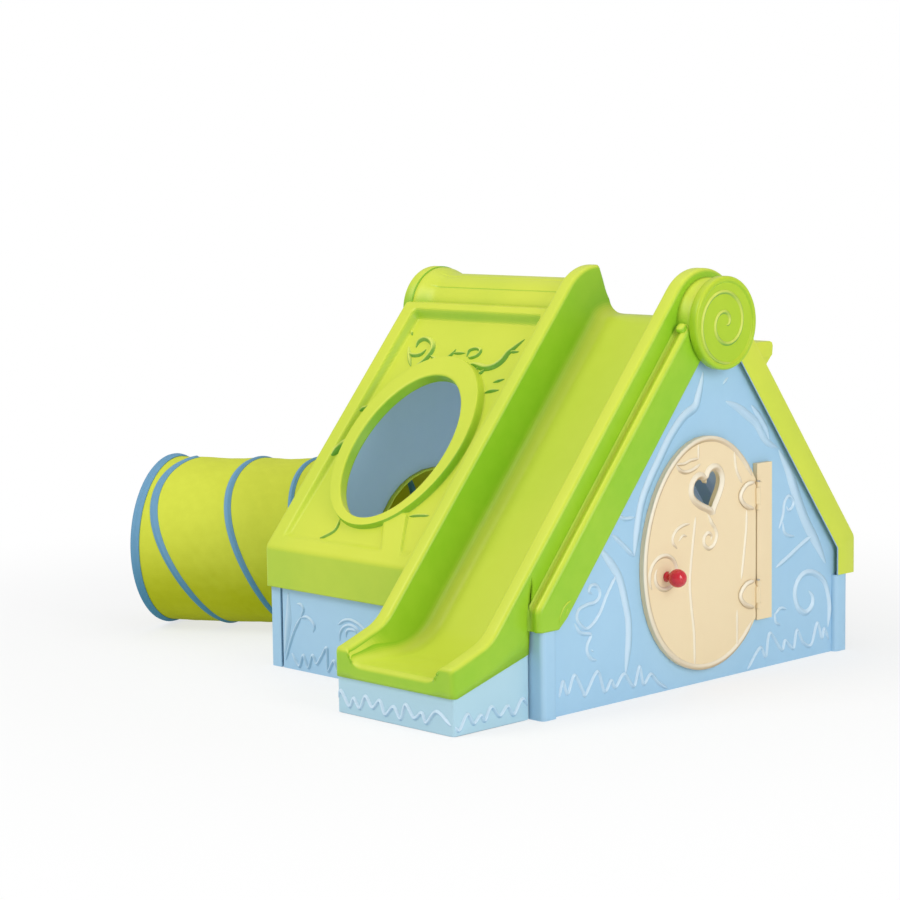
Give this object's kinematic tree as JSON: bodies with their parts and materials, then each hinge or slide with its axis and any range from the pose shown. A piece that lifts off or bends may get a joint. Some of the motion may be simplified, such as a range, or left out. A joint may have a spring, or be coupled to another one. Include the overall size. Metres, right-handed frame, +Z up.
{
  "type": "playhouse",
  "caption": "Gabled moulded playhouse with a ridge slide, climbing wall, round window, swing door and a cloth crawl tunnel.",
  "frame": {"origin": "centre of the overall bounding box, on the floor", "axes": "+X out of the door gable, along the ridge; -Y toward the foot of the slide; +Z up"},
  "size_m": [1.8746, 1.5614, 1.0609],
  "materials": {
    "light_blue_plastic": "satin moulded polyethylene",
    "lime_plastic": "satin moulded polyethylene",
    "green_plastic": "satin moulded polyethylene",
    "cream_plastic": "satin moulded polyethylene",
    "red_plastic": "glossy moulded plastic",
    "green_cloth": "woven polyester",
    "blue_binding": "woven binding over a steel hoop",
    "steel": "zinc plated"
  },
  "bodies": {
    "house": {"door_gable_panel": "light_blue_plastic", "tunnel_gable_panel": "light_blue_plastic", "front_low_wall": "light_blue_plastic", "rear_low_wall": "light_blue_plastic", "slide_base": "light_blue_plastic", "window_roof_panel": "lime_plastic", "rear_roof_panel": "lime_plastic", "climbing_panel": "lime_plastic", "ridge_cap": "lime_plastic", "ridge_disc_tunnel_end": "lime_plastic", "tunnel_collar": "lime_plastic", "slide_panel": "green_plastic", "ridge_disc_door_end": "green_plastic", "door_hinge_plate": "cream_plastic", "tunnel_fabric": "green_cloth", "ridge_beam": "steel", "tunnel_spring_wire": "steel", "hinge_pin_lower": "steel", "hinge_pin_upper": "steel", "disc_screw_door_end": "steel", "disc_screw_tunnel_end": "steel", "hinge_screw_1": "steel", "hinge_screw_2": "steel", "hinge_screw_3": "steel", "hinge_screw_4": "steel"},
    "door": {"door_leaf": "cream_plastic", "door_knob_outer": "red_plastic", "door_knob_inner": "red_plastic", "knob_screw": "steel"},
    "tunnel_end": {"tunnel_end_ring": "blue_binding"}
  },
  "joints": [
    {"name": "door_swing", "type": "hinge", "parent": "house", "child": "door", "pos_m": [0.8838, 0.29275, 0.335], "axis": [0, 0, 1], "range_deg": [0, 110]},
    {"name": "tunnel_fold", "type": "slide", "parent": "house", "child": "tunnel_end", "axis": [0.8775, 0.4796, 0], "range_m": [0, 0.6], "stiffness_N_per_m": 12, "deforming": ["tunnel_fabric", "tunnel_spring_wire"]}
  ]
}
